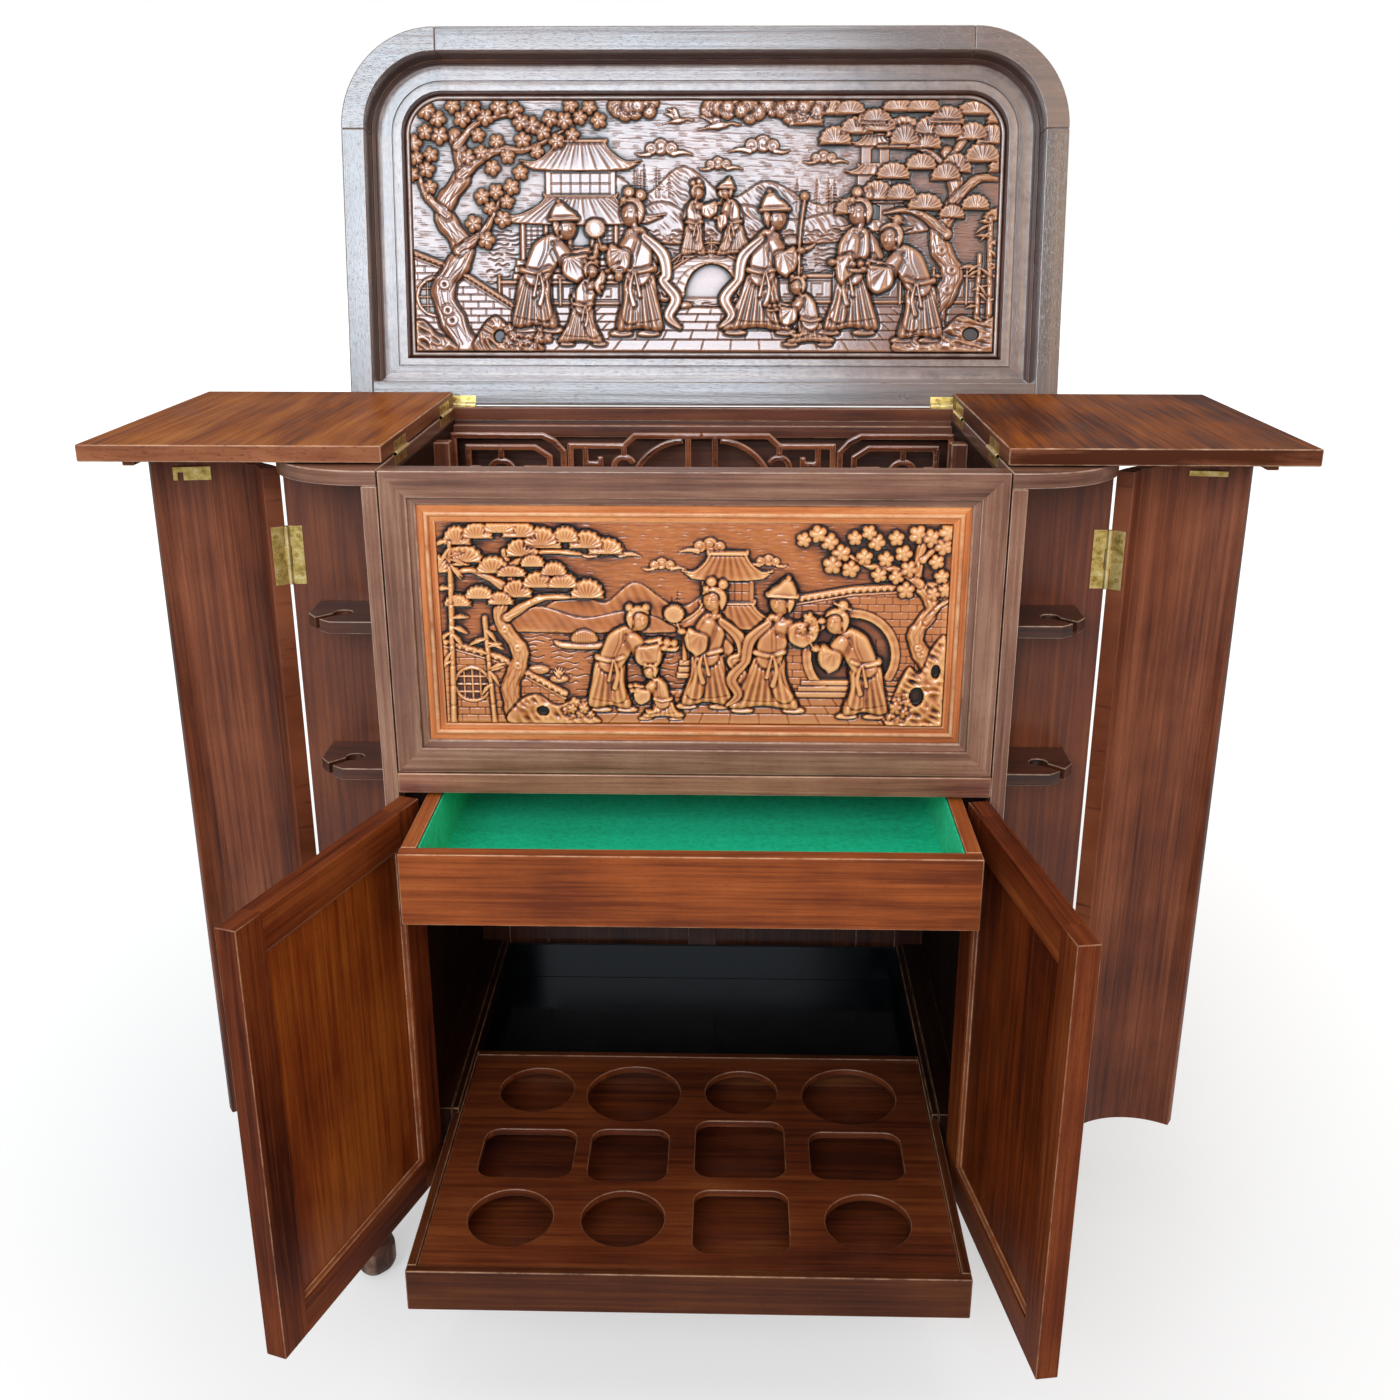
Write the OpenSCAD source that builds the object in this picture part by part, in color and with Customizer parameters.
// Folding dry bar cabinet, drawn open: lid up, leaves spread, corner doors swung out,
// drawer and bottle tray pulled out. The floor is z = 0 and the front face looks to -Y.

/* [Body] */
// Width of the closed body
body_w = 900; // [840:2:980]
// Depth of the closed body
body_d = 454; // [430:2:500]
// Height of the body's top edge above the floor
body_top = 1048; // [1020:1:1090]
// Radius of the rounded front corners
corner_r = 114; // [104:1:124]
// Thickness of the partitions and the corner top plates
board_t = 16; // [14:0.5:18]
// Thickness of the bay walls and of the whole back
wall_t = 14; // [12:0.5:16]
// Thickness of the outer side panels
side_t = 12; // [9:0.5:14]
// Height of the legs
leg_h = 184; // [150:1:200]
// Thickness of the bottom board
base_t = 28; // [20:1:32]
// Thickness of the well's floor board
well_floor_t = 16; // [10:0.5:18]
// Depth that the back frame stands in front of the back panel
back_frame_t = 6; // [5:0.5:7]
// Width of the rails and stiles of the back frame
back_frame_w = 40; // [25:1:60]
// Width of a leg's top block
leg_block_w = 60; // [44:1:64]
// Height of a leg's top block
leg_block_h = 34; // [24:1:44]
// Distance of a leg's centre from the body's side
leg_in_x = 38; // [36:1:60]
// Distance of a front leg's centre from the front face
leg_in_y = 70; // [66:1:80]
// Radius of a leg's ball foot
foot_r = 27; // [20:0.5:30]

/* [Front] */
// Height of the rail below the front frame
front_rail_h = 23; // [18:0.5:30]
// Depth of that rail
front_rail_t = 20; // [14:0.5:26]
// Height of the front frame with its carved panel
front_frame_h = 327; // [300:1:360]
// Thickness of the front frame
front_frame_t = 28; // [24:0.5:32]
// Width of the front frame's members
front_frame_w = 28; // [22:0.5:34]
// Width of the stepped lip inside the front frame
front_lip_w = 8; // [5:0.5:12]
// Depth of the lip below the frame's face
front_lip_in = 5; // [3:0.5:6]
// Thickness of the front panel
front_panel_t = 10; // [8:0.5:12]
// Width of the plain border round the carved field
front_border_w = 18; // [14:0.5:24]
// Radius of the bead on that border
front_bead_r = 3; // [2:0.25:4]
// Gap between the front frame and the posts
frame_gap = 1.5; // [1:0.25:2.5]

/* [Lid] */
// Overhang of the lid past the body
lid_over = 7; // [5:0.5:9]
// Height of the lid's rim
lid_rim_h = 54; // [48:1:60]
// Width of the lid's rim
lid_rim_w = 29; // [24:0.5:34]
// Thickness of the lid's top board
lid_board_t = 10; // [7:0.5:12]
// Width of the moulded frame inside the rim
lid_frame_w = 42; // [38:0.5:46]
// Height of the moulded frame
lid_frame_h = 14; // [12:0.5:16]
// Width of the wider rear rail of the moulded frame
lid_rear_w = 34; // [30:0.5:40]
// Thickness of the carved lid panel
lid_panel_t = 4; // [3:0.5:5]
// Radius of the bead round the lid's carved field
lid_bead_r = 3; // [2:0.25:3.5]
// Angle the lid stands open at
lid_open = 99.3; // [92:0.1:104]

/* [Leaves] */
// Thickness of a leaf
leaf_t = 18; // [15:0.5:20]
// Gap between the two folded leaves
leaf_middle_gap = 4; // [2:0.5:8]
// Gap between a leaf's end and the well's front and back
leaf_end_gap = 3; // [2:0.5:5]
// Length of the rest block under a leaf
leaf_block_l = 40; // [25:1:60]
// Width of the rest block under a leaf
leaf_block_w = 13; // [10:0.5:20]

/* [Curved doors] */
// Thickness of a curved door
curved_t = 14; // [11:0.5:17]
// Width of the thick stile at a curved door's hinge edge
curved_stile_w = 20; // [16:0.5:26]
// Depth of that stile
curved_stile_d = 22; // [16:0.5:28]
// Angle the curved doors stand open at
curved_open = 146; // [120:1:150]
// Length of the brass lock plate
lock_w = 41; // [30:1:50]
// Height of the brass lock plate
lock_h = 15; // [10:0.5:18]
// Distance of the lock plate below the curved door's top edge
lock_down = 6; // [4:0.5:20]
// Thickness of the brass lock plate
lock_t = 1.5; // [1:0.25:2.5]

/* [Bay brackets] */
// Reach of a bracket along the bay wall
bracket_w = 85; // [60:1:90]
// Reach of a bracket towards the front
bracket_d = 83; // [60:1:90]
// Thickness of a bracket
bracket_t = 14; // [10:0.5:18]
// Height of the upper bracket's top
bracket_top_z = 880; // [840:1:900]
// Height of the lower bracket's top
bracket_low_z = 711; // [600:1:730]
// Radius of the keyhole in a bracket
bracket_hole_r = 10; // [8:0.5:13]
// Width of the slot that opens the keyhole
bracket_slot_w = 9; // [7:0.5:14]

/* [Lower doors] */
// Thickness of a lower door
door_t = 23; // [20:0.5:24]
// Gap round the lower doors
door_gap = 2; // [1:0.25:3]
// Width of a lower door's stiles and rails
door_frame_w = 40; // [32:1:50]
// Depth of the panel below a lower door's faces
door_panel_in = 6; // [4:0.5:8]
// Width of the moulding round a lower door's panel
door_bead_w = 6; // [4:0.5:9]
// Angle the left lower door stands open at
door_open_left = 108.8; // [96:0.1:120]
// Angle the right lower door stands open at
door_open_right = 98.7; // [92:0.1:120]

/* [Drawer] */
// Gap between the opened doors' line and the drawer's side
guide_in = 29; // [28:0.5:32]
// Height of the drawer
drawer_h = 79; // [60:1:90]
// Depth of the drawer, front to back
drawer_d = 400; // [340:2:402]
// Thickness of the drawer's front
drawer_front_t = 17; // [14:0.5:20]
// Thickness of the drawer's sides and back
drawer_side_t = 16; // [10:0.5:18]
// Thickness of the drawer's bottom
drawer_bottom_t = 7; // [5:0.5:10]
// Thickness of the felt lining
felt_t = 2; // [1.5:0.25:3]
// Distance the drawer stands pulled out
drawer_out = 171; // [120:1:200]
// Thickness of the ledge that carries the drawer
drawer_ledge_t = 8; // [6:0.5:12]

/* [Bottle tray] */
// Height of the tray's walls
tray_h = 49; // [44:0.5:56]
// Depth of the tray, front to back
tray_d = 406; // [404:1:407]
// Thickness of the tray's walls
tray_wall_t = 10; // [8:0.5:11]
// Thickness of the tray's floor
tray_floor_t = 6; // [4:0.5:8]
// Thickness of the rack board
rack_t = 9; // [6:0.5:12]
// Depth of the rack board below the tray's top edge
rack_in = 4; // [2:0.5:8]
// Distance the tray stands pulled out
tray_out = 269; // [220:1:290]
// Thickness of the black floor under the tray
liner_t = 6; // [4:0.5:8]
// Height of the black strip at the back of the compartment
liner_strip_h = 53; // [30:1:60]
// Overlap of the guide's lip over the tray's edge
tray_lip_w = 9; // [5:0.5:11]

/* [Well] */
// Thickness of the fretwork gallery
fret_t = 8; // [6:0.5:10]
// Distance of the fretwork's back from the well's back wall
fret_from_back = 30; // [20:1:40]
// Height of the fretwork gallery
fret_h = 95; // [80:1:110]
// Width of a bar of the fretwork
fret_bar_w = 8; // [6:0.5:9]
// Distance of the step in the fretwork's top bar from the well's side
fret_step_in = 118; // [105:1:130]
// Distance of the fretwork's inner upright from the well's side
fret_inner_in = 22; // [16:1:30]
// Place of the fretwork's inner bar, below its top
fret_inner_z = -19; // [-22:0.5:-16]
// Distance of the ring in the fretwork's side from the well's side
fret_ring_in = 64; // [58:1:70]
// Radius of that ring
fret_ring_r = 16; // [12:0.5:18]
// Distance of the step in the fretwork's middle from the well's side
fret_low_in = 221; // [216:1:226]
// Place of the fretwork's low middle bar, below its top
fret_low_z = -17; // [-20:0.5:-14]
// Place of the fretwork's middle posts
fret_post_x = 17; // [12:0.5:22]
// Width of the upright battens in the well
batten_w = 20; // [12:1:24]
// Distance of the middle battens from the front face
batten_y = 292; // [240:1:320]

/* [Hinges] */
// Thickness of every hinge plate
plate_t = 1.5; // [1:0.25:2]
// Radius of every hinge knuckle
knuckle_r = 3; // [2.75:0.25:3.5]
// Radius of every hinge pin
pin_r = 1.4; // [1:0.1:1.6]
// Gap between two boards that meet at a hinge
hinge_gap = 2; // [1.5:0.25:2.5]
// Length of a corner door's hinge
curved_hinge_l = 66; // [50:1:76]
// Distance of the lower corner door hinge's middle from the door's foot
curved_hinge_low = 120; // [60:1:200]
// Distance of the upper corner door hinge's middle from the door's top
curved_hinge_high = 98; // [60:1:140]
// Width of a corner door's hinge plate
curved_hinge_w = 17; // [12:0.5:19]
// Length of a leaf's hinge
leaf_hinge_l = 60; // [40:1:70]
// Distance of the front leaf hinge's middle from the leaf's front
leaf_hinge_front = 89; // [45:1:120]
// Distance of the rear leaf hinge's middle from the leaf's back
leaf_hinge_back = 62; // [40:1:100]
// Width of a leaf's hinge plate
leaf_hinge_w = 13; // [9:0.5:14]
// Length of a lid hinge
lid_hinge_l = 38; // [30:1:50]
// Distance of a lid hinge's middle from the well's side
lid_hinge_in = 7; // [4:1:60]
// Width of a lid hinge plate
lid_hinge_w = 12; // [9:0.5:13]
// Length of a lower door's hinge
door_hinge_l = 60; // [45:1:76]
// Distance of a lower door hinge's middle from the door's top and foot
door_hinge_end = 80; // [50:1:110]
// Width of a lower door's hinge plate
door_hinge_w = 19; // [14:0.5:20]

/* [Hidden] */

$fn = 96;
slide_gap = 0.3;
run_gap = 0.4;
far = 3000;

// Colours of the woods and metals
dark_wood = [0.26, 0.13, 0.09];
mid_wood = [0.37, 0.19, 0.13];
deep_wood = [0.30, 0.14, 0.08];
carved_wood = [0.62, 0.34, 0.16];
lid_wood = [0.38, 0.24, 0.19];
black_gloss = [0.02, 0.02, 0.03];
felt_green = [0.0, 0.62, 0.44];
brass = [0.75, 0.60, 0.28];

// Main planes of the body
half_w = body_w / 2;
bay_x = half_w - corner_r;
open_half = bay_x - board_t;
bay_y = corner_r + hinge_gap;
back_in = body_d - wall_t;
panel_y = back_in + back_frame_t;
plate_z = body_top - board_t;
floor_z = leg_h + base_t;
hinge_e = hinge_gap / 2;

// Front
frame_half = open_half - frame_gap;
frame_z = body_top - front_frame_h;
rail_z1 = frame_z - frame_gap;
rail_z0 = rail_z1 - front_rail_h;
lip_half = frame_half - front_frame_w - front_lip_w;
lip_z0 = frame_z + front_frame_w + front_lip_w;
lip_z1 = body_top - front_frame_w - front_lip_w;
front_panel_y = front_lip_in + 3;

// Leaves
leaf_y0 = front_frame_t + leaf_end_gap;
leaf_y1 = back_in - leaf_end_gap;
leaf_len = leaf_y1 - leaf_y0;
leaf_w = open_half - hinge_gap - leaf_middle_gap / 2;
leaf_rest_z = body_top - leaf_t;
leaf_axis = [open_half - hinge_e, 0, body_top + hinge_e];
leaf_hinges_y = [leaf_y0 + leaf_hinge_front, leaf_y1 - leaf_hinge_back];

// Well
well_floor_z = rail_z1 - well_floor_t;
batten_top = leaf_rest_z - hinge_gap;
fret_y1 = back_in - fret_from_back;
fret_top = leaf_rest_z - 8;
fret_step_x = open_half - fret_step_in;
fret_inner_x = open_half - fret_inner_in;
fret_ring_x = open_half - fret_ring_in;
fret_low_x = open_half - fret_low_in;

// Lid
lid_half = half_w + lid_over;
lid_r = corner_r + lid_over;
lid_z0 = body_top + hinge_gap;
lid_z1 = lid_z0 + lid_rim_h;
lid_in_r = lid_r - lid_rim_w;
lid_axis = [0, body_d + hinge_e, body_top + hinge_e];
lid_hinges_x = [-open_half + lid_hinge_in, open_half - lid_hinge_in];

// Corner doors
curved_axis = [half_w + hinge_e, corner_r + hinge_e, 0];
curved_z0 = leg_h + door_gap;
curved_z1 = plate_z - door_gap;
curved_hinges_z = [curved_z0 + curved_hinge_low, curved_z1 - curved_hinge_high];
curved_in_r = corner_r - curved_t;
bay_floor_r = corner_r - max(curved_t, curved_stile_w) - hinge_gap;
leaf_block_h = lid_z0 - curved_z1 - 3 * slide_gap;

// Lower doors
door_axis = [open_half - hinge_e, -hinge_e, 0];
door_z0 = floor_z + door_gap;
door_z1 = rail_z0 - door_gap;
door_w = open_half - hinge_gap - door_gap / 2;
door_hinges_z = [door_z0 + door_hinge_end, door_z1 - door_hinge_end];

// Drawer and tray
guide_half = open_half - guide_in + slide_gap;
drawer_half = open_half - guide_in;
inner_y = door_t + 3;
drawer_z1 = rail_z0 - 4;
drawer_z0 = drawer_z1 - drawer_h;
drawer_y = inner_y - drawer_out;
tray_half = drawer_half;
liner_z1 = floor_z + liner_t;
tray_z0 = liner_z1 + slide_gap;
tray_z1 = tray_z0 + tray_h;
tray_y = inner_y - tray_out;
rack_z1 = tray_z1 - rack_in;
rack_z0 = rack_z1 - rack_t;

// Rack cut-outs: place across, place from the tray's front, width, depth, corner radius
rack_holes = [
    [-196, 328, 91, 91, 45.5], [-76, 322, 114, 114, 57], [56, 328, 88, 88, 44],
    [188, 322, 114, 114, 57],
    [-191, 203, 107, 88, 18], [-74, 202, 90, 94, 18], [54, 216, 103, 104, 18],
    [188, 206, 106, 86, 18],
    [-195, 91, 92, 92, 46], [-73, 92, 90, 90, 45], [55, 90, 103, 101, 18],
    [192, 91, 92, 92, 46]
];

// Reach of the open part to the front and to the back, which sets the origin's place
function door_reach(a) = hinge_e + (door_w + hinge_e) * sin(a) - (door_t + hinge_e) * cos(a);
front_reach = max(door_reach(door_open_left), door_reach(door_open_right), -tray_y, -drawer_y);
lid_span = body_d + hinge_e + lid_over;
back_reach = lid_axis[1] - lid_span * cos(lid_open)
    + (hinge_e + lid_rim_h + lid_board_t) * sin(lid_open);
centre_y = (back_reach - front_reach) / 2;

// Placing

module home(tint) {
    color(tint) translate([0, -centre_y, 0]) children();
}

module flip(side) {
    if (side > 0) children();
    else mirror([1, 0, 0]) children();
}

module both() {
    children();
    mirror([1, 0, 0]) children();
}

module turn(axis, angles) {
    translate(axis) rotate(angles) translate(-axis) children();
}

module lid_pose() {
    turn(lid_axis, [-lid_open, 0, 0]) children();
}

module leaf_pose(side) {
    flip(side) turn(leaf_axis, [0, 180, 0]) children();
}

module curved_pose(side) {
    flip(side) turn(curved_axis, [0, 0, curved_open]) children();
}

module door_pose(side) {
    flip(side) turn(door_axis, [0, 0, side > 0 ? door_open_right : door_open_left]) children();
}

module drawer_pose() {
    translate([0, drawer_y, 0]) children();
}

module tray_pose() {
    translate([0, tray_y, 0]) children();
}

// Shapes

module block(low, high) {
    translate(low) cube(high - low);
}

// A board whose two front corners are rounded
module rounded_board(half, y0, y1, r, z0, z1) {
    block([-half + r, y0, z0], [half - r, y1, z1]);
    block([-half, y0 + r, z0], [half, y1, z1]);
    both() translate([half - r, y0 + r, z0]) cylinder(r = r, h = z1 - z0);
}

// A quarter disc in front of and outside the corner centre
module quarter(r, z0, z1) {
    intersection() {
        translate([bay_x, corner_r, z0]) cylinder(r = r, h = z1 - z0);
        block([bay_x, corner_r - r - 1, z0], [bay_x + r + 1, corner_r, z1]);
    }
}

module quarter_ring(r_in, r_out, z0, z1) {
    difference() {
        quarter(r_out, z0, z1);
        translate([bay_x, corner_r, z0 - 1]) cylinder(r = r_in, h = z1 - z0 + 2);
    }
}

// A frame of four members in the plane of X and Z
module face_frame(half, z0, z1, w, y0, y1) {
    both() block([half - w, y0, z0], [half, y1, z1]);
    block([-half + w, y0, z1 - w], [half - w, y1, z1]);
    block([-half + w, y0, z0], [half - w, y1, z0 + w]);
}

// A strip with the given section, run along +X with the section in Y and Z
module run_x(length, section) {
    rotate([90, 0, 90]) linear_extrude(length) polygon(section);
}

// Hinges: the axis is Z, the fixed board lies at y < 0 and the moving board at y > 0

module hinge_spot_door(z) {
    translate(door_axis + [0, 0, z]) rotate([0, 0, 90]) children();
}

module hinge_spot_curved(z) {
    translate(curved_axis + [0, 0, z]) rotate([0, 0, 180]) children();
}

module hinge_spot_leaf(y) {
    translate(leaf_axis + [0, y, 0]) rotate([-90, 0, 0]) rotate([0, 0, 90]) children();
}

module hinge_spot_lid(x) {
    translate(lid_axis + [x, 0, 0]) rotate([0, -90, 0]) rotate([0, 0, -90]) children();
}

// The plate's own space and the hollow round the knuckles, taken out of both boards
module hinge_seat(l, w) {
    translate([0, -hinge_e - plate_t, -l / 2]) cube([w, 2 * (hinge_e + plate_t), l]);
    translate([0, 0, -l / 2 - slide_gap]) cylinder(r = knuckle_r + run_gap, h = l + 2 * slide_gap);
}

module hinge_plate(l, w, level) {
    translate([knuckle_r + run_gap, level, -l / 2]) cube([w - knuckle_r - run_gap, plate_t, l]);
}

// A knuckle with its neck to the plate
module knuckle(low, high, w, level) {
    difference() {
        union() {
            translate([0, level, low]) cube([w, plate_t, high - low]);
            translate([0, 0, low]) cylinder(r = knuckle_r, h = high - low);
        }
        translate([0, 0, low - 1]) cylinder(r = pin_r + 0.1, h = high - low + 2);
    }
}

module hinge_moving(l, w) {
    hinge_plate(l, w, hinge_e);
    knuckle(-l / 6, l / 6, w, hinge_e);
}

// The fixed half has the outer knuckles and the pin
module hinge_fixed(l, w) {
    level = -hinge_e - plate_t;
    hinge_plate(l, w, level);
    knuckle(-l / 2, -l / 6 - slide_gap, w, level);
    knuckle(l / 6 + slide_gap, l / 2, w, level);
    translate([0, 0, -l / 2]) cylinder(r = pin_r, h = l);
}

module door_hinge_seats() {
    for (z = door_hinges_z) hinge_spot_door(z) hinge_seat(door_hinge_l, door_hinge_w);
}

module curved_hinge_seats() {
    for (z = curved_hinges_z) hinge_spot_curved(z) hinge_seat(curved_hinge_l, curved_hinge_w);
}

module leaf_hinge_seats() {
    for (y = leaf_hinges_y) hinge_spot_leaf(y) hinge_seat(leaf_hinge_l, leaf_hinge_w);
}

module lid_hinge_seats() {
    for (x = lid_hinges_x) hinge_spot_lid(x) hinge_seat(lid_hinge_l, lid_hinge_w);
}

// Body

module partition(side) {
    home(mid_wood) flip(side) difference() {
        block([open_half, 0, leg_h], [bay_x, back_in, plate_z]);
        door_hinge_seats();
    }
}

module partition_left() {
    partition(-1);
}

module partition_right() {
    partition(1);
}

module outer_sides() {
    home(mid_wood) both()
        block([half_w - side_t, bay_y + wall_t, leg_h], [half_w, panel_y, plate_z]);
}

module bay_walls() {
    home(deep_wood) both() difference() {
        block([bay_x, bay_y, leg_h], [half_w, bay_y + wall_t, plate_z]);
        curved_hinge_seats();
    }
}

module top_plates() {
    home(mid_wood) both() difference() {
        union() {
            block([open_half, 0, plate_z], [bay_x, back_in, body_top]);
            block([bay_x, corner_r, plate_z], [half_w, back_in, body_top]);
            quarter(corner_r, plate_z, body_top);
        }
        leaf_hinge_seats();
    }
}

module bottom_board() {
    home(dark_wood) {
        block([-open_half, 0, leg_h], [open_half, panel_y, floor_z]);
        both() block([bay_x, bay_y + wall_t, leg_h], [half_w - side_t, panel_y, floor_z]);
    }
}

module bay_floors() {
    home(dark_wood) both() {
        quarter(bay_floor_r, leg_h, floor_z);
        block([bay_x, corner_r, leg_h], [bay_x + bay_floor_r, bay_y, floor_z]);
    }
}

module floor_liner() {
    home(black_gloss) {
        block([-tray_half, inner_y, floor_z], [tray_half, back_in, liner_z1]);
        block([-tray_half, back_in - liner_t, liner_z1],
              [tray_half, back_in, liner_z1 + liner_strip_h]);
    }
}

module back_panel() {
    home(dark_wood) block([-half_w, panel_y, leg_h], [half_w, body_d, plate_z]);
}

module back_frame() {
    home(deep_wood) {
        face_frame(open_half, floor_z, well_floor_z, back_frame_w, back_in, panel_y);
        block([-back_frame_w / 2, back_in, floor_z + back_frame_w],
              [back_frame_w / 2, panel_y, well_floor_z - back_frame_w]);
    }
}

module back_rail() {
    home(mid_wood) difference() {
        block([-half_w, back_in, plate_z], [half_w, body_d, body_top]);
        lid_hinge_seats();
    }
}

module front_rail() {
    home(mid_wood) block([-open_half, 0, rail_z0], [open_half, front_rail_t, rail_z1]);
}

module front_frame() {
    home(dark_wood) {
        face_frame(frame_half, frame_z, body_top, front_frame_w, 0, front_frame_t);
        face_frame(frame_half - front_frame_w, frame_z + front_frame_w,
                   body_top - front_frame_w, front_lip_w, front_lip_in, front_frame_t);
    }
}

module front_panel() {
    home(carved_wood) difference() {
        block([-lip_half, front_panel_y, lip_z0],
              [lip_half, front_panel_y + front_panel_t, lip_z1]);
        block([-lip_half + front_border_w, front_panel_y - 1, lip_z0 + front_border_w],
              [lip_half - front_border_w, front_panel_y + 3, lip_z1 - front_border_w]);
    }
}

// Half-round beads lying on the border of the front panel
module front_bead() {
    side = lip_half - front_border_w / 2;
    top = lip_z1 - front_border_w / 2;
    low = lip_z0 + front_border_w / 2;
    home(carved_wood) intersection() {
        union() {
            both() translate([side, front_panel_y, low])
                cylinder(r = front_bead_r, h = top - low);
            for (z = [low, top])
                translate([-side, front_panel_y, z]) rotate([0, 90, 0])
                    cylinder(r = front_bead_r, h = 2 * side);
        }
        block([-lip_half, front_panel_y - front_bead_r, lip_z0],
              [lip_half, front_panel_y, lip_z1]);
    }
}

module well_floor() {
    home(deep_wood)
        block([-open_half, front_rail_t, well_floor_z], [open_half, back_in, rail_z1]);
}

module well_back() {
    home(deep_wood) block([-open_half, back_in, well_floor_z], [open_half, panel_y, plate_z]);
}

// Upright battens behind the front frame and half way back, and the rear ledge
module well_battens() {
    home(deep_wood) {
        both() {
            block([open_half - wall_t, front_frame_t, rail_z1],
                  [open_half, front_frame_t + wall_t, batten_top]);
            block([open_half - batten_w, batten_y, rail_z1],
                  [open_half, batten_y + batten_w, batten_top]);
        }
        block([-open_half, back_in - wall_t, batten_top - board_t],
              [open_half, back_in, batten_top]);
    }
}

// Fretwork, drawn in X and Z for the right half, with z = 0 at its top, and mirrored

function unit(v) = v / norm(v);
function normal(v) = [-v[1], v[0]];
function seg_normal(points, i) = normal(unit(points[i + 1] - points[i]));

// Offset at a corner of a bar, so that its two sides stay parallel
function miter(points, i) = let (
    a = seg_normal(points, max(i - 1, 0)),
    b = seg_normal(points, min(i, len(points) - 2))
) (a + b) / (1 + a * b);

module bar(points) {
    half = fret_bar_w / 2;
    last = len(points) - 1;
    polygon(concat([for (i = [0 : last]) points[i] + half * miter(points, i)],
                   [for (i = [last : -1 : 0]) points[i] - half * miter(points, i)]));
}

function arc(centre, r, a0, a1, steps) = [
    for (i = [0 : steps])
        let (a = a0 + (a1 - a0) * i / steps) centre + r * [cos(a), sin(a)]
];

module fret_half() {
    mid = fret_bar_w / 2;
    top = -mid;
    low = mid - fret_h;
    // Side section: end stile, stepped top bar and its upright
    bar([[open_half - mid, low], [open_half - mid, top], [fret_step_x, top],
         [fret_step_x - 14, top - 7], [fret_step_x - 26, top - 20],
         [fret_step_x - 26, low]]);
    // Inner bar, ring with its knob, and a key hook
    bar([[fret_inner_x, low], [fret_inner_x, fret_inner_z], [fret_step_x + 10, fret_inner_z],
         [fret_step_x - 8, fret_inner_z - 12], [fret_step_x - 8, low]]);
    bar(arc([fret_ring_x, -52], fret_ring_r, -60, 240, 14));
    bar([[fret_ring_x, -54 + fret_ring_r], [fret_ring_x, fret_inner_z]]);
    translate([fret_ring_x, -50 - fret_ring_r]) circle(r = 9, $fn = 24);
    bar([[fret_step_x - 8, -46], [fret_step_x + 22, -46], [fret_step_x + 22, -66],
         [fret_step_x + 10, -66]]);
    bar([[fret_inner_x, -46], [fret_inner_x - 16, -46]]);
    // Middle section: stepped top bar, key hook, curl, big arc and post
    bar([[fret_step_x - 35, low], [fret_step_x - 35, fret_low_z], [fret_low_x, fret_low_z],
         [fret_low_x - 14, top], [-1, top]]);
    bar([[fret_step_x - 54, fret_low_z], [fret_step_x - 54, -40], [fret_step_x - 73, -40],
         [fret_step_x - 73, -30]]);
    bar(arc([fret_low_x, -44], 13, -90, 160, 10));
    bar([[fret_low_x, -33], [fret_low_x, fret_low_z]]);
    bar(arc([fret_post_x + 4, -80], 70, 6, 88, 10));
    bar([[fret_post_x, top], [fret_post_x, -46], [-1, -52]]);
    // Foot rail
    bar([[open_half - mid, low], [-1, low]]);
}

module fretwork() {
    home(mid_wood) translate([0, fret_y1, fret_top]) rotate([90, 0, 0])
        linear_extrude(fret_t) {
            fret_half();
            mirror([1, 0]) fret_half();
        }
}

// Guides

module drawer_guides() {
    home(deep_wood) both() {
        block([guide_half, inner_y, drawer_z0 - slide_gap - drawer_ledge_t],
              [open_half, back_in, well_floor_z]);
        block([guide_half - 18, inner_y, drawer_z0 - slide_gap - drawer_ledge_t],
              [guide_half, back_in, drawer_z0 - slide_gap]);
    }
}

module tray_guides() {
    home(deep_wood) both() {
        block([guide_half, inner_y, floor_z], [open_half, back_in, tray_z1 + slide_gap + board_t / 2]);
        block([guide_half - tray_lip_w, inner_y, tray_z1 + slide_gap],
              [guide_half, back_in - liner_t, tray_z1 + slide_gap + board_t / 2]);
    }
}

module bracket(z1) {
    reach_r = curved_in_r - 3;
    hole = [bay_x + bracket_w * 0.56, bay_y - bracket_d * 0.56];
    difference() {
        intersection() {
            block([bay_x, bay_y - bracket_d, z1 - bracket_t], [bay_x + bracket_w, bay_y, z1]);
            translate([bay_x, corner_r, z1 - bracket_t - 1])
                cylinder(r = reach_r, h = bracket_t + 2);
        }
        translate([hole[0], hole[1], z1 - bracket_t - 1])
            cylinder(r = bracket_hole_r, h = bracket_t + 2);
        translate([hole[0], hole[1], z1 - bracket_t - 1]) rotate([0, 0, -45])
            translate([0, -bracket_slot_w / 2, 0])
                cube([2 * corner_r, bracket_slot_w, bracket_t + 2]);
    }
}

module bottle_brackets() {
    home(dark_wood) both() {
        bracket(bracket_top_z);
        bracket(bracket_low_z);
    }
}

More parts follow.
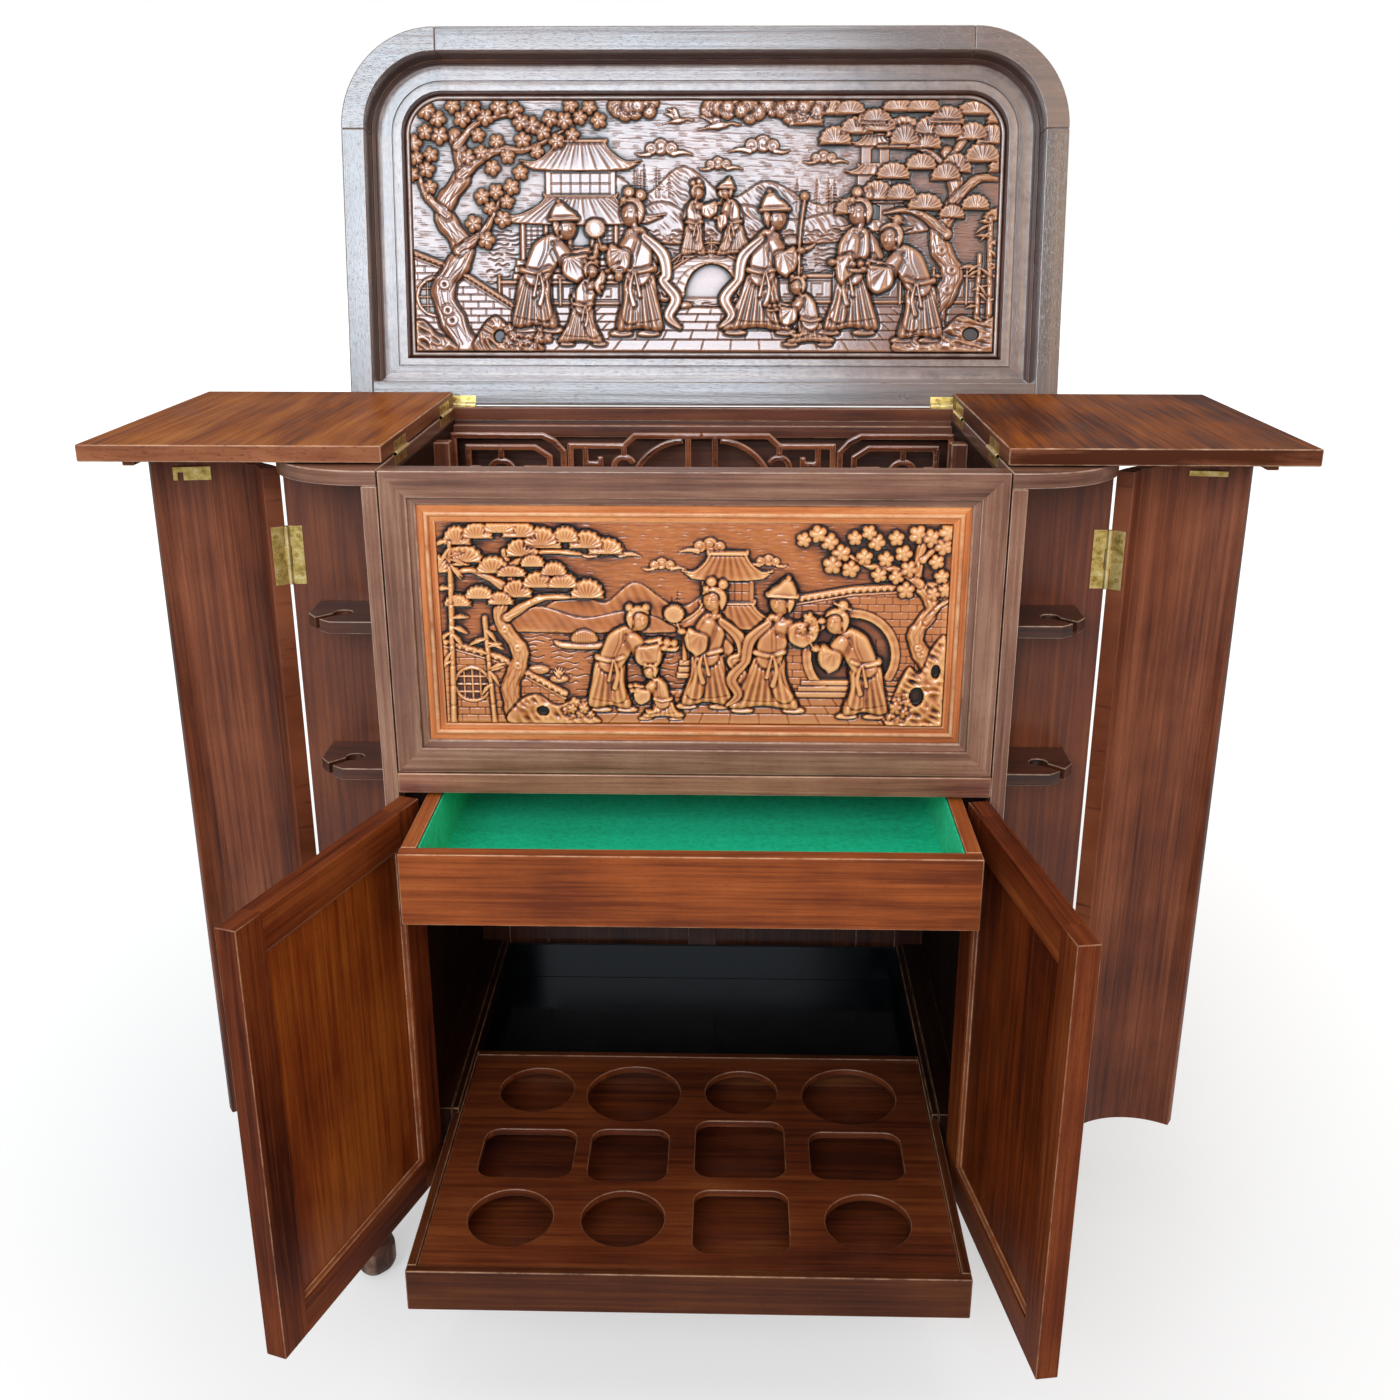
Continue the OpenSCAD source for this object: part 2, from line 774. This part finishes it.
// A leg: square block, swelling knee, slim ankle and a ball foot
module leg() {
    knee_z = leg_h - leg_block_h;
    ankle_z = foot_r * 2.3;
    ankle_r = foot_r * 0.62;
    difference() {
        union() {
            block([-leg_block_w / 2, -leg_block_w / 2, knee_z],
                  [leg_block_w / 2, leg_block_w / 2, leg_h]);
            translate([0, 0, (knee_z + ankle_z) / 2])
                cylinder(r1 = ankle_r * 1.15, r2 = leg_block_w * 0.47, h = (knee_z - ankle_z) / 2);
            translate([0, 0, ankle_z])
                cylinder(r1 = ankle_r, r2 = ankle_r * 1.15, h = (knee_z - ankle_z) / 2);
            translate([0, 0, foot_r]) cylinder(r1 = foot_r * 0.9, r2 = ankle_r,
                                               h = ankle_z - foot_r);
            translate([0, 0, foot_r - 2]) sphere(r = foot_r);
        }
        block([-far, -far, -far], [far, far, 0]);
    }
}

// The top blocks of the front legs follow the rounded corners
module front_legs() {
    home(dark_wood) intersection() {
        both() translate([half_w - leg_in_x, leg_in_y, 0]) leg();
        union() {
            block([-far, -far, -1], [far, far, leg_h - leg_block_h]);
            rounded_board(half_w - hinge_gap, hinge_gap, body_d, corner_r - hinge_gap,
                          leg_h - leg_block_h, leg_h);
        }
    }
}

module back_legs() {
    home(dark_wood) both() translate([half_w - leg_in_x, body_d - leg_in_x, 0]) leg();
}

// Fixed halves of the hinges

module lid_hinges_fixed() {
    home(brass) for (x = lid_hinges_x) hinge_spot_lid(x) hinge_fixed(lid_hinge_l, lid_hinge_w);
}

module leaf_hinges_fixed() {
    home(brass) both() for (y = leaf_hinges_y)
        hinge_spot_leaf(y) hinge_fixed(leaf_hinge_l, leaf_hinge_w);
}

module curved_hinges_fixed() {
    home(brass) both() for (z = curved_hinges_z)
        hinge_spot_curved(z) hinge_fixed(curved_hinge_l, curved_hinge_w);
}

module door_hinges_fixed() {
    home(brass) both() for (z = door_hinges_z)
        hinge_spot_door(z) hinge_fixed(door_hinge_l, door_hinge_w);
}

// Lid, drawn closed and then swung open

module lid_rim() {
    home(dark_wood) lid_pose() difference() {
        union() {
            block([-bay_x, -lid_over, lid_z0], [bay_x, lid_rim_w - lid_over, lid_z1]);
            both() quarter_ring(lid_in_r, lid_r, lid_z0, lid_z1);
            both() block([lid_half - lid_rim_w, corner_r, lid_z0], [lid_half, body_d, lid_z1]);
            block([-lid_half + lid_rim_w, body_d - lid_rim_w, lid_z0],
                  [lid_half - lid_rim_w, body_d, lid_z1]);
        }
        lid_hinge_seats();
    }
}

module lid_board() {
    home(dark_wood) lid_pose()
        rounded_board(lid_half, -lid_over, body_d, lid_r, lid_z1, lid_z1 + lid_board_t);
}

// Section of the lid's moulded frame: inwards from the rim, down from the board
function lid_section(w, flat) = [
    [0, 0], [0, flat ? -lid_frame_h : 1 - lid_frame_h],
    [w * 0.1, (flat ? 0 : 3.5) - lid_frame_h], [w * 0.2, -lid_frame_h], [w * 0.62, -lid_frame_h],
    [w * 0.62, 2 - lid_frame_h], [w * 0.67, 2 - lid_frame_h], [w * 0.67, -lid_frame_h],
    [w * 0.92, -lid_frame_h], [w, -lid_panel_t - 1], [w, 0]
];

module lid_frame() {
    side_section = lid_section(lid_frame_w, false);
    rear_section = lid_section(lid_rear_w, true);
    inner_x = lid_half - lid_rim_w;
    rear_y = body_d - lid_rim_w;
    home(lid_wood) lid_pose() {
        translate([-bay_x, lid_rim_w - lid_over, lid_z1]) run_x(2 * bay_x, side_section);
        both() translate([bay_x, corner_r, lid_z1]) rotate([0, 0, -90])
            rotate_extrude(angle = 90)
                polygon([for (p = side_section) [lid_in_r - p[0], p[1]]]);
        both() translate([inner_x, corner_r, lid_z1]) rotate([90, 0, 180])
            linear_extrude(rear_y - lid_rear_w - corner_r) polygon(side_section);
        translate([inner_x, rear_y, lid_z1]) rotate([90, 0, -90])
            linear_extrude(2 * inner_x) polygon(rear_section);
    }
}

// Bead round the lid's carved field
module lid_bead() {
    half = lid_half - lid_rim_w - lid_frame_w;
    r = lid_in_r - lid_frame_w;
    w = 2 * lid_bead_r;
    rear_y = body_d - lid_rim_w - lid_rear_w;
    section = [[0, 0], [w * 0.1, -lid_bead_r * 0.7], [w * 0.3, -lid_bead_r],
               [w * 0.7, -lid_bead_r], [w * 0.9, -lid_bead_r * 0.7], [w, 0]];
    home(lid_wood) lid_pose() {
        translate([-bay_x, corner_r - r, lid_z1 - lid_panel_t]) run_x(2 * bay_x, section);
        both() translate([bay_x, corner_r, lid_z1 - lid_panel_t]) rotate([0, 0, -90])
            rotate_extrude(angle = 90) polygon([for (p = section) [r - p[0], p[1]]]);
        both() translate([half, corner_r, lid_z1 - lid_panel_t]) rotate([90, 0, 180])
            linear_extrude(rear_y - corner_r) polygon(section);
        translate([half, rear_y, lid_z1 - lid_panel_t]) rotate([90, 0, -90])
            linear_extrude(2 * half) polygon(section);
    }
}

module lid_panel() {
    half = lid_half - lid_rim_w - lid_frame_w;
    r = lid_in_r - lid_frame_w;
    home(lid_wood) lid_pose()
        rounded_board(half, corner_r - r, body_d - lid_rim_w - lid_rear_w, r,
                      lid_z1 - lid_panel_t, lid_z1);
}

module lid_hinges() {
    home(brass) lid_pose() for (x = lid_hinges_x)
        hinge_spot_lid(x) hinge_moving(lid_hinge_l, lid_hinge_w);
}

// Leaves, drawn folded into the well and then spread

module leaf(side) {
    home(mid_wood) leaf_pose(side) difference() {
        union() {
            block([open_half - hinge_gap - leaf_w, leaf_y0, leaf_rest_z],
                  [open_half - hinge_gap, leaf_y1, body_top]);
            block([open_half - hinge_gap - leaf_w + 12, corner_r, body_top],
                  [open_half - hinge_gap - leaf_w + 12 + leaf_block_w,
                   corner_r + leaf_block_l, body_top + leaf_block_h]);
        }
        leaf_hinge_seats();
    }
}

module leaf_hinges(side) {
    home(brass) leaf_pose(side) for (y = leaf_hinges_y)
        hinge_spot_leaf(y) hinge_moving(leaf_hinge_l, leaf_hinge_w);
}

module leaf_left() {
    leaf(-1);
}

module leaf_right() {
    leaf(1);
}

module leaf_hinges_left() {
    leaf_hinges(-1);
}

module leaf_hinges_right() {
    leaf_hinges(1);
}

// Corner doors, drawn closed and then swung out

module curved_door(side) {
    home(deep_wood) curved_pose(side) difference() {
        quarter_ring(curved_in_r, corner_r, curved_z0, curved_z1);
        block([bay_x - 1, -1, curved_z0 - 1], [bay_x + hinge_gap, corner_r, curved_z1 + 1]);
        block([half_w - curved_stile_w, corner_r - curved_stile_d, curved_z0 - 1],
              [half_w + 1, corner_r + 1, curved_z1 + 1]);
    }
}

module curved_stile(side) {
    home(deep_wood) curved_pose(side) difference() {
        intersection() {
            quarter(corner_r, curved_z0, curved_z1);
            block([half_w - curved_stile_w, corner_r - curved_stile_d, curved_z0],
                  [half_w, corner_r, curved_z1]);
        }
        curved_hinge_seats();
    }
}

module curved_hinges(side) {
    home(brass) curved_pose(side) for (z = curved_hinges_z)
        hinge_spot_curved(z) hinge_moving(curved_hinge_l, curved_hinge_w);
}

// A brass plate against the inner face of a curved door, near its free edge
module door_plate(w, h) {
    spin = 14 + w / 2 / curved_in_r * 57.3;
    translate([bay_x, corner_r, 0]) rotate([0, 0, spin - 90])
        translate([curved_in_r * cos(asin(w / 2 / curved_in_r)) - lock_t, -w / 2,
                   curved_z1 - lock_down - h])
            cube([lock_t, w, h]);
}

module lock_plate() {
    home(brass) curved_pose(-1) difference() {
        door_plate(lock_w, lock_h);
        translate([bay_x, corner_r, 0])
            rotate([0, 0, 14 + lock_w / 2 / curved_in_r * 57.3 - 90])
                translate([curved_in_r - 10, -lock_w / 2 + 5, curved_z1 - lock_down - lock_h - 1])
                    cube([20, 6, lock_h * 0.6]);
    }
}

module lock_strike() {
    home(brass) curved_pose(1) door_plate(lock_w, lock_t * 4);
}

module curved_door_left() {
    curved_door(-1);
}

module curved_door_right() {
    curved_door(1);
}

module curved_stile_left() {
    curved_stile(-1);
}

module curved_stile_right() {
    curved_stile(1);
}

module curved_hinges_left() {
    curved_hinges(-1);
}

module curved_hinges_right() {
    curved_hinges(1);
}

// Lower doors, drawn closed and then swung out

module door_frame(side) {
    x1 = open_half - hinge_gap;
    x0 = x1 - door_w;
    home(mid_wood) door_pose(side) difference() {
        union() {
            block([x1 - door_frame_w, 0, door_z0], [x1, door_t, door_z1]);
            block([x0, 0, door_z0], [x0 + door_frame_w, door_t, door_z1]);
            block([x0 + door_frame_w, 0, door_z0],
                  [x1 - door_frame_w, door_t, door_z0 + door_frame_w]);
            block([x0 + door_frame_w, 0, door_z1 - door_frame_w],
                  [x1 - door_frame_w, door_t, door_z1]);
        }
        door_hinge_seats();
    }
}

// The panel has a raised moulding round it on both faces
module door_panel(side) {
    x1 = open_half - hinge_gap - door_frame_w;
    x0 = x1 - door_w + 2 * door_frame_w;
    z0 = door_z0 + door_frame_w;
    z1 = door_z1 - door_frame_w;
    home(deep_wood) door_pose(side) {
        block([x0, door_panel_in, z0], [x1, door_t - door_panel_in, z1]);
        for (y = [[2, door_panel_in], [door_t - door_panel_in, door_t - 2]]) {
            for (x = [x0, x1 - door_bead_w])
                block([x, y[0], z0], [x + door_bead_w, y[1], z1]);
            for (z = [z0, z1 - door_bead_w])
                block([x0 + door_bead_w, y[0], z], [x1 - door_bead_w, y[1], z + door_bead_w]);
        }
    }
}

module door_hinges(side) {
    home(brass) door_pose(side) for (z = door_hinges_z)
        hinge_spot_door(z) hinge_moving(door_hinge_l, door_hinge_w);
}

module door_frame_left() {
    door_frame(-1);
}

module door_frame_right() {
    door_frame(1);
}

module door_panel_left() {
    door_panel(-1);
}

module door_panel_right() {
    door_panel(1);
}

module door_hinges_left() {
    door_hinges(-1);
}

module door_hinges_right() {
    door_hinges(1);
}

// Drawer, drawn with its front face at y = 0

module drawer_front() {
    home(mid_wood) drawer_pose()
        block([-drawer_half, 0, drawer_z0], [drawer_half, drawer_front_t, drawer_z1]);
}

module drawer_box() {
    home(mid_wood) drawer_pose() {
        both() block([drawer_half - drawer_side_t, drawer_front_t, drawer_z0],
                     [drawer_half, drawer_d, drawer_z1]);
        block([-drawer_half + drawer_side_t, drawer_d - drawer_side_t, drawer_z0],
              [drawer_half - drawer_side_t, drawer_d, drawer_z1]);
    }
}

module drawer_bottom() {
    home(deep_wood) drawer_pose()
        block([-drawer_half + drawer_side_t, drawer_front_t, drawer_z0 + 4],
              [drawer_half - drawer_side_t, drawer_d - drawer_side_t,
               drawer_z0 + 4 + drawer_bottom_t]);
}

module drawer_felt() {
    low = [-drawer_half + drawer_side_t, drawer_front_t, drawer_z0 + 4 + drawer_bottom_t];
    high = [drawer_half - drawer_side_t, drawer_d - drawer_side_t, drawer_z1 - 3];
    home(felt_green) drawer_pose() difference() {
        block(low, high);
        block(low + felt_t * [1, 1, 1], high + [-felt_t, -felt_t, 1]);
    }
}

// Bottle tray, drawn with its front face at y = 0

module tray_box() {
    home(mid_wood) tray_pose() {
        block([-tray_half, 0, tray_z0], [tray_half, tray_wall_t, tray_z1]);
        both() block([tray_half - tray_wall_t, tray_wall_t, tray_z0],
                     [tray_half, tray_d, tray_z1]);
        block([-tray_half + tray_wall_t, tray_d - tray_wall_t, tray_z0],
              [tray_half - tray_wall_t, tray_d, tray_z1]);
    }
}

module tray_floor() {
    home(deep_wood) tray_pose()
        block([-tray_half + tray_wall_t, tray_wall_t, tray_z0 + 2],
              [tray_half - tray_wall_t, tray_d - tray_wall_t, tray_z0 + 2 + tray_floor_t]);
}

module rack_hole(w, d, r) {
    if (w > 2 * r || d > 2 * r) {
        cube([w - 2 * r, d, 2 * far], center = true);
        cube([w, d - 2 * r, 2 * far], center = true);
        for (x = [-1, 1], y = [-1, 1])
            translate([x * (w / 2 - r), y * (d / 2 - r), -far]) cylinder(r = r, h = 2 * far);
    } else {
        translate([0, 0, -far]) cylinder(r = r, h = 2 * far);
    }
}

module tray_rack() {
    home(deep_wood) tray_pose() difference() {
        block([-tray_half + tray_wall_t, tray_wall_t, rack_z0],
              [tray_half - tray_wall_t, tray_d - tray_wall_t, rack_z1]);
        for (h = rack_holes) translate([h[0], h[1], 0]) rack_hole(h[2], h[3], h[4]);
    }
}

partition_left();
partition_right();
outer_sides();
bay_walls();
top_plates();
bottom_board();
bay_floors();
floor_liner();
back_panel();
back_frame();
back_rail();
front_rail();
front_frame();
front_panel();
front_bead();
well_floor();
well_back();
well_battens();
fretwork();
drawer_guides();
tray_guides();
bottle_brackets();
front_legs();
back_legs();
lid_hinges_fixed();
leaf_hinges_fixed();
curved_hinges_fixed();
door_hinges_fixed();
lid_rim();
lid_board();
lid_frame();
lid_bead();
lid_panel();
lid_hinges();
leaf_left();
leaf_hinges_left();
leaf_right();
leaf_hinges_right();
curved_door_left();
curved_stile_left();
curved_hinges_left();
lock_plate();
curved_door_right();
curved_stile_right();
curved_hinges_right();
lock_strike();
door_frame_left();
door_panel_left();
door_hinges_left();
door_frame_right();
door_panel_right();
door_hinges_right();
drawer_front();
drawer_box();
drawer_bottom();
drawer_felt();
tray_box();
tray_floor();
tray_rack();
